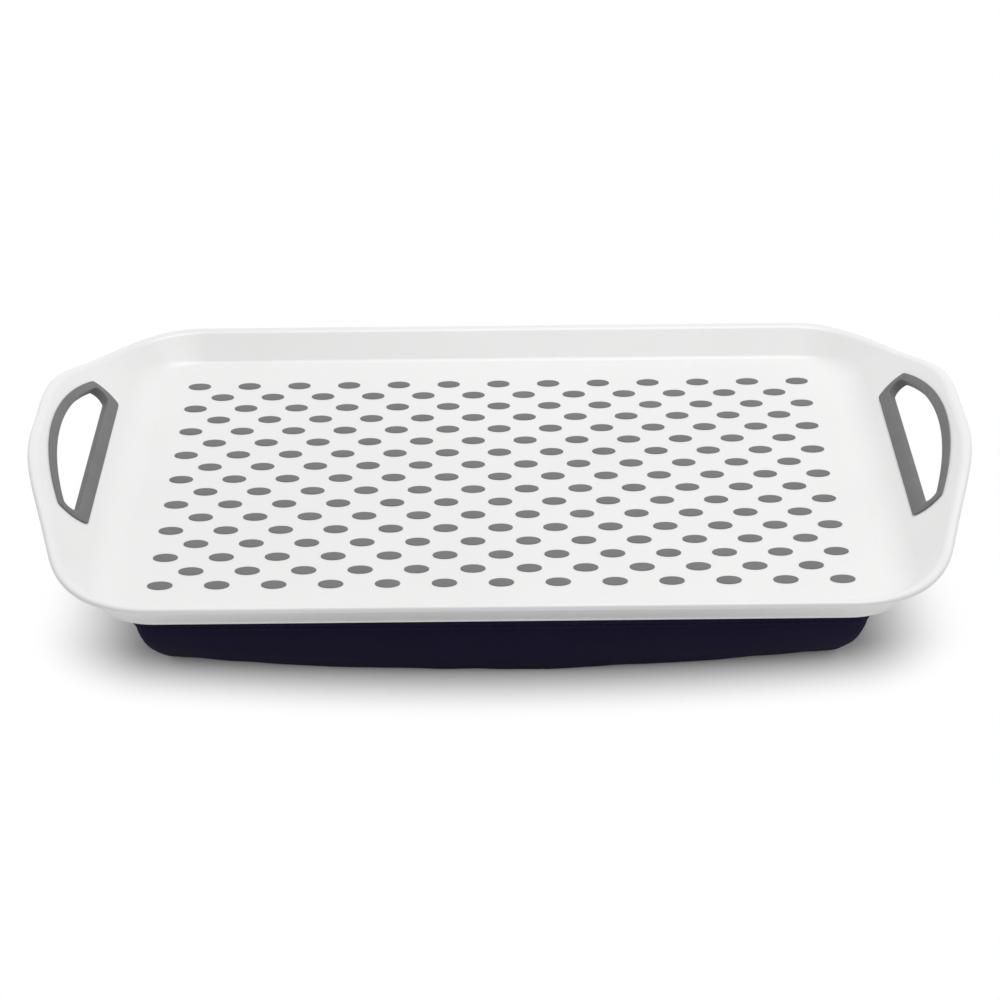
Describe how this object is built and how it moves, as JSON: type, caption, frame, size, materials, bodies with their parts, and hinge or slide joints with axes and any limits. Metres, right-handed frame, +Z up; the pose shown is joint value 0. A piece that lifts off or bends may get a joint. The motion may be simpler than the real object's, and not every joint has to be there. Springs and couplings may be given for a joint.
{
  "type": "lap tray with cushion",
  "caption": "Shallow rectangular lap tray with raised ends, hand holes with soft grips and anti-slip floor dots, held by touch tape on a flat bead-filled cushion.",
  "frame": {"origin": "on the table under the middle of the cushion's foot", "axes": "+X to the right hand hole, +Y to the back long side, +Z up"},
  "size_m": [0.431, 0.2862, 0.0734],
  "materials": {
    "tray_white": "white satin moulded plastic",
    "soft_grey": "mid-grey soft-touch rubber, matte",
    "hook_tape": "black nylon hook tape",
    "loop_tape": "black nylon loop tape",
    "navy_cloth": "navy woven cloth, matte",
    "bead_fill": "loose white polystyrene beads"
  },
  "bodies": {
    "cushion": {"cushion_bag": "navy_cloth", "cushion_top_panel": "navy_cloth", "cushion_hem": "navy_cloth", "bead_filling": "bead_fill", "loop_tape_front_left": "loop_tape", "loop_tape_front_right": "loop_tape", "loop_tape_back_left": "loop_tape", "loop_tape_back_right": "loop_tape"},
    "tray": {"tray_shell": "tray_white", "left_handle_grip": "soft_grey", "right_handle_grip": "soft_grey", "anti_slip_row_01": "soft_grey", "anti_slip_row_02": "soft_grey", "anti_slip_row_03": "soft_grey", "anti_slip_row_04": "soft_grey", "anti_slip_row_05": "soft_grey", "anti_slip_row_06": "soft_grey", "anti_slip_row_07": "soft_grey", "anti_slip_row_08": "soft_grey", "anti_slip_row_09": "soft_grey", "anti_slip_row_10": "soft_grey", "anti_slip_row_11": "soft_grey", "anti_slip_row_12": "soft_grey", "anti_slip_row_13": "soft_grey", "anti_slip_row_14": "soft_grey", "anti_slip_row_15": "soft_grey", "anti_slip_row_16": "soft_grey", "anti_slip_row_17": "soft_grey", "hook_tape_front_left": "hook_tape", "hook_tape_front_right": "hook_tape", "hook_tape_back_left": "hook_tape", "hook_tape_back_right": "hook_tape"}
  },
  "joints": [
    {"name": "tray_lift", "type": "slide", "parent": "cushion", "child": "tray", "axis": [0, 0, 1], "range_m": [0, 0.06]}
  ]
}
